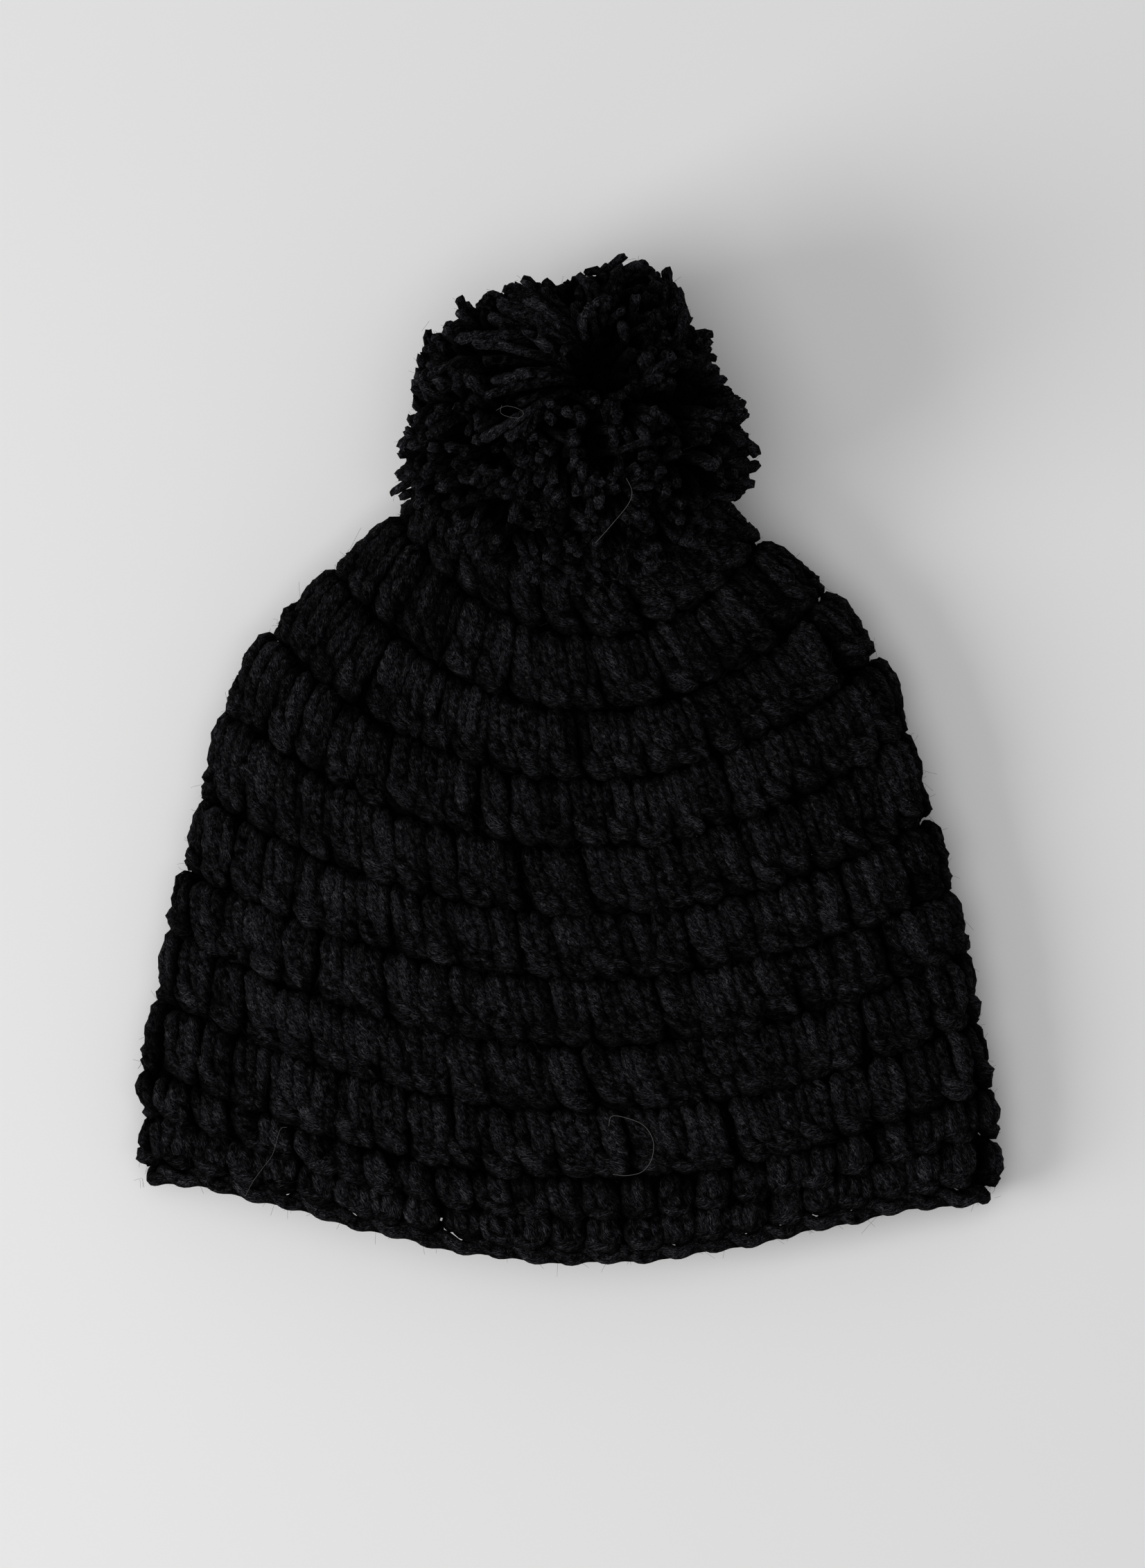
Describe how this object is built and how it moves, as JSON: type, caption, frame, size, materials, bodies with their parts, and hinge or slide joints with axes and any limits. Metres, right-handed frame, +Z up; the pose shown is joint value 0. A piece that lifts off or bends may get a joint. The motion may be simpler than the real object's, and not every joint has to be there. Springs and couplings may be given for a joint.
{
  "type": "beanie with pompom",
  "caption": "Chunky crocheted winter hat, lying flat, ribbed by its rounds of stitches, with a corded mouth edge and a full cut-yarn pompom on the tip of the crown.",
  "frame": {"origin": "under the middle of the whole hat and pompom, on the surface that it lies on", "axes": "+X across the hat to the right, +Y from the mouth to the pompom, +Z up from the surface that it lies on"},
  "size_m": [0.2422, 0.2817, 0.0869],
  "materials": {
    "hat_yarn": "matt black bulky acrylic-wool yarn, worked into thick plied loops with a light haze of loose fibres",
    "pompom_yarn": "the same black yarn, cut, with blunt open ends",
    "tie_yarn": "the same black yarn, hidden"
  },
  "bodies": {
    "root": {"crown": "hat_yarn", "brim_band": "hat_yarn", "brim_edge": "hat_yarn", "pompom": "pompom_yarn", "pompom_tie": "tie_yarn"}
  },
  "joints": []
}
